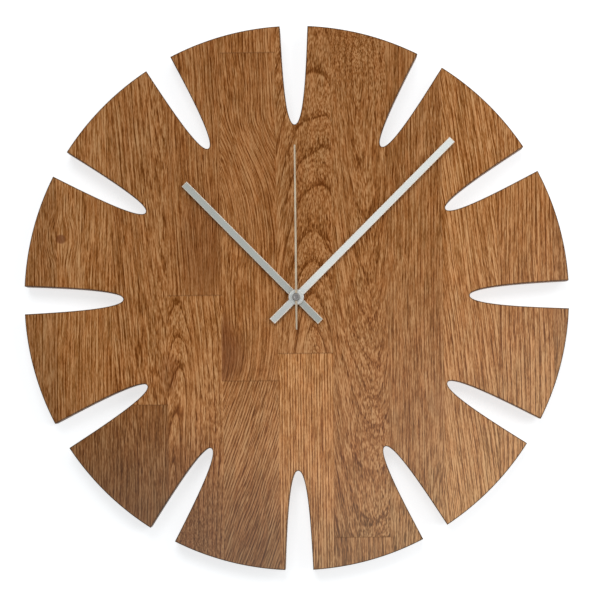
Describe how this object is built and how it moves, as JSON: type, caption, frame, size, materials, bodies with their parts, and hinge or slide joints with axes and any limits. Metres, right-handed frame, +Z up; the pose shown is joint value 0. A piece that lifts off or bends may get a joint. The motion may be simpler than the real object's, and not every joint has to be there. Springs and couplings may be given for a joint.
{
  "type": "wooden wall clock",
  "caption": "Round oak wall clock with slots cut into its rim for the hours, slim aluminium hands and a quartz movement let into its back.",
  "frame": {"origin": "on the wall plane, on the axis of the wall screw that bears at the top of the hanger plate's keyhole; the hand axis lies 55.6 mm below it", "axes": "+Z up, +Y into the wall, +X to the right as seen from the front; the dial faces -Y"},
  "size_m": [0.3196, 0.0316, 0.3196],
  "materials": {
    "oak": "oiled oak, glued up from upright staves",
    "bumper_rubber": "matt",
    "plate_steel": "zinc plated",
    "screw_steel": "yellow zinc plated",
    "foam": "double-sided foam",
    "case_plastic": "fine spark-eroded texture",
    "frame_plastic": "moulded",
    "wheel_plastic": "moulded",
    "circuit_laminate": "lacquered",
    "resin": "cast resin",
    "can_metal": "drawn can",
    "copper_wire": "enamelled winding",
    "soft_iron": "stamped",
    "magnet": "sintered",
    "contact_metal": "nickel plated",
    "cell_jacket": "foil jacket without lettering",
    "arbor_steel": "ground",
    "pipe_brass": "turned",
    "spring_steel": "stamped",
    "hour_hand_metal": "brushed lengthwise, bright bevels",
    "minute_hand_metal": "brushed lengthwise, bright bevels",
    "second_hand_metal": "satin",
    "cap_metal": "turned, satin",
    "knob_plastic": "moulded, fluted"
  },
  "bodies": {
    "case": {"dial_board": "oak", "wall_bumper_1": "bumper_rubber", "wall_bumper_2": "bumper_rubber", "wall_bumper_3": "bumper_rubber", "wall_bumper_4": "bumper_rubber", "hanger_plate": "plate_steel", "hanger_screw_1": "screw_steel", "hanger_screw_2": "screw_steel", "mounting_pad": "foam", "movement_case_front": "case_plastic", "movement_case_rear": "case_plastic", "middle_plate": "frame_plastic", "rear_bridge": "frame_plastic", "circuit_board": "circuit_laminate", "chip_blob": "resin", "crystal_can": "can_metal", "coil_bobbin": "frame_plastic", "coil_winding": "copper_wire", "coil_core": "soft_iron", "stator_plate": "soft_iron", "battery_contact_positive": "contact_metal", "battery_contact_negative": "contact_metal"},
    "cell": {"battery_cell": "cell_jacket"},
    "rotor": {"rotor_arbor": "wheel_plastic", "rotor_magnet": "magnet"},
    "intermediate": {"intermediate_wheel": "wheel_plastic"},
    "seconds": {"second_wheel": "wheel_plastic", "second_arbor": "arbor_steel", "second_hand": "second_hand_metal", "second_hand_socket": "pipe_brass", "second_hand_cap": "cap_metal"},
    "third": {"third_wheel": "wheel_plastic"},
    "minutes": {"centre_wheel": "wheel_plastic", "clutch_spring": "spring_steel", "minute_pipe": "pipe_brass", "minute_hand": "minute_hand_metal", "minute_hand_collet": "pipe_brass"},
    "motion": {"motion_wheel": "wheel_plastic"},
    "hours": {"hour_wheel": "wheel_plastic", "hour_hand": "hour_hand_metal", "hour_hand_collet": "pipe_brass"},
    "setting": {"setting_pinion": "wheel_plastic", "setting_knob": "knob_plastic"}
  },
  "joints": [
    {"name": "second_turn", "type": "hinge", "parent": "case", "child": "seconds", "pos_m": [0, 0, -0.0556], "axis": [0, 1, 0], "continuous": true},
    {"name": "minute_turn", "type": "hinge", "parent": "case", "child": "minutes", "pos_m": [0, 0, -0.0556], "axis": [0, 1, 0], "continuous": true},
    {"name": "hour_turn", "type": "hinge", "parent": "case", "child": "hours", "pos_m": [0, 0, -0.0556], "axis": [0, 1, 0], "continuous": true},
    {"name": "rotor_turn", "type": "hinge", "parent": "case", "child": "rotor", "pos_m": [0.0024, 0, -0.04254], "axis": [0, 1, 0], "continuous": true},
    {"name": "intermediate_turn", "type": "hinge", "parent": "case", "child": "intermediate", "pos_m": [0.0036, 0, -0.04936], "axis": [0, 1, 0], "continuous": true},
    {"name": "third_turn", "type": "hinge", "parent": "case", "child": "third", "pos_m": [-0.00873, 0, -0.05056], "axis": [0, 1, 0], "continuous": true},
    {"name": "motion_turn", "type": "hinge", "parent": "case", "child": "motion", "pos_m": [0.00776, 0, -0.05112], "axis": [0, 1, 0], "continuous": true},
    {"name": "setting_turn", "type": "hinge", "parent": "case", "child": "setting", "pos_m": [0.01671, 0, -0.04786], "axis": [0, 1, 0], "continuous": true},
    {"name": "cell_slide", "type": "slide", "parent": "case", "child": "cell", "axis": [0, 1, 0], "range_m": [0, 0.018]}
  ],
  "couplings": [
    {"joint": "rotor_turn", "follows": "second_turn", "ratio": 30},
    {"joint": "intermediate_turn", "follows": "second_turn", "ratio": -5},
    {"joint": "third_turn", "follows": "second_turn", "ratio": -0.16667},
    {"joint": "minute_turn", "follows": "second_turn", "ratio": 0.016667},
    {"joint": "motion_turn", "follows": "second_turn", "ratio": -0.0055556},
    {"joint": "hour_turn", "follows": "second_turn", "ratio": 0.0013889},
    {"joint": "setting_turn", "follows": "second_turn", "ratio": 0.013333}
  ]
}
